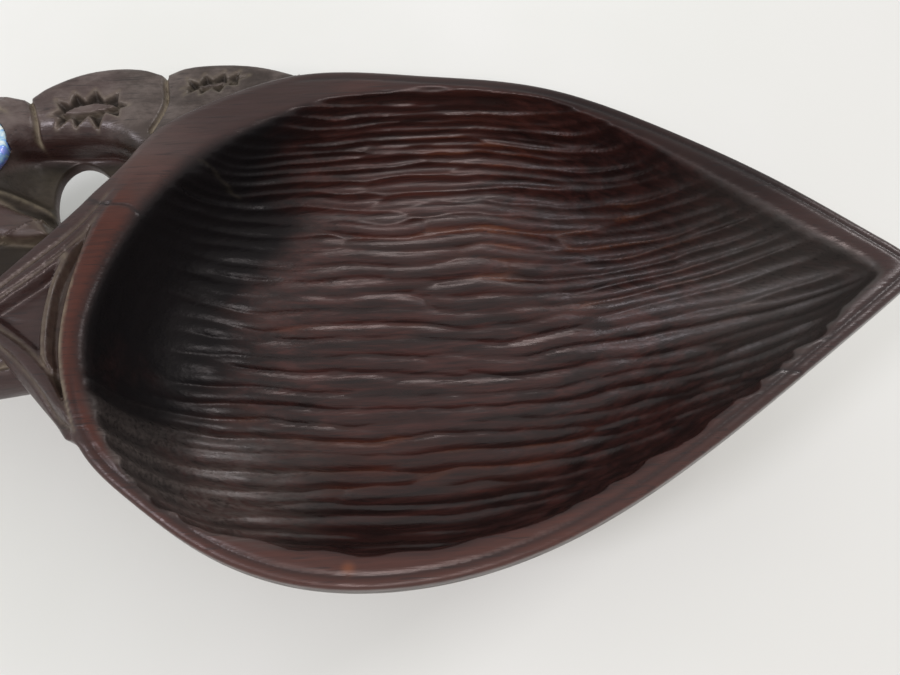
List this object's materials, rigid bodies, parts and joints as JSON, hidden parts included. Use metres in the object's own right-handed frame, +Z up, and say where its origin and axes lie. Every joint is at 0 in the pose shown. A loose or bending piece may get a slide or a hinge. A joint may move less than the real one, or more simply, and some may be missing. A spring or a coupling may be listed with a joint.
{
  "type": "carved wooden bowl",
  "caption": "Leaf-shaped hardwood bowl with a fluted inside and an openwork bird-head handle with crest lobes, a V-shaped panel, pierced openings and an inlaid shell eye.",
  "frame": {"origin": "middle of the flat foot under the bowl, on the surface that it stands on", "axes": "+X along the bowl to its pointed tip, away from the handle; +Y to the crested side of the handle; +Z up, out of the bowl's mouth"},
  "size_m": [0.2098, 0.1074, 0.042],
  "materials": {
    "carved_wood": "dark reddish-brown hardwood, rubbed satin with pale dust in the cuts",
    "iridescent_shell": null,
    "pupil_wood": "near-black polished wood"
  },
  "bodies": {
    "root": {"carved_body": "carved_wood", "eye_shell": "iridescent_shell", "eye_pupil": "pupil_wood"}
  },
  "joints": []
}
